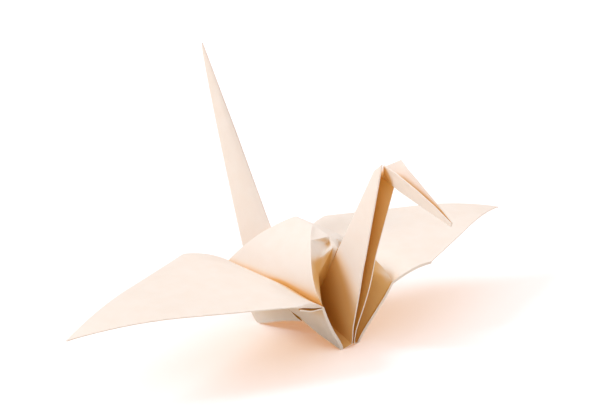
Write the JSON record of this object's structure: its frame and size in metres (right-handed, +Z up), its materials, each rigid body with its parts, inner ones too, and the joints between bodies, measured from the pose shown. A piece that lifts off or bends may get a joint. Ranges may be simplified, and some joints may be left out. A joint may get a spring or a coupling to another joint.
{
  "type": "folded paper crane",
  "caption": "Origami crane folded from one square sheet of cream paper, with a puffed body, spread wings, raised tail and bent-down beak.",
  "frame": {"origin": "on the ground the feet stand on, under the middle of the bounding box", "axes": "+X from the tail to the head, Y along the wingspan, +Z up; the plane Y = 0 is the mirror plane"},
  "size_m": [0.087, 0.142, 0.0671],
  "materials": {
    "paper": "matt"
  },
  "bodies": {
    "root": {"crane": "paper"}
  },
  "joints": []
}
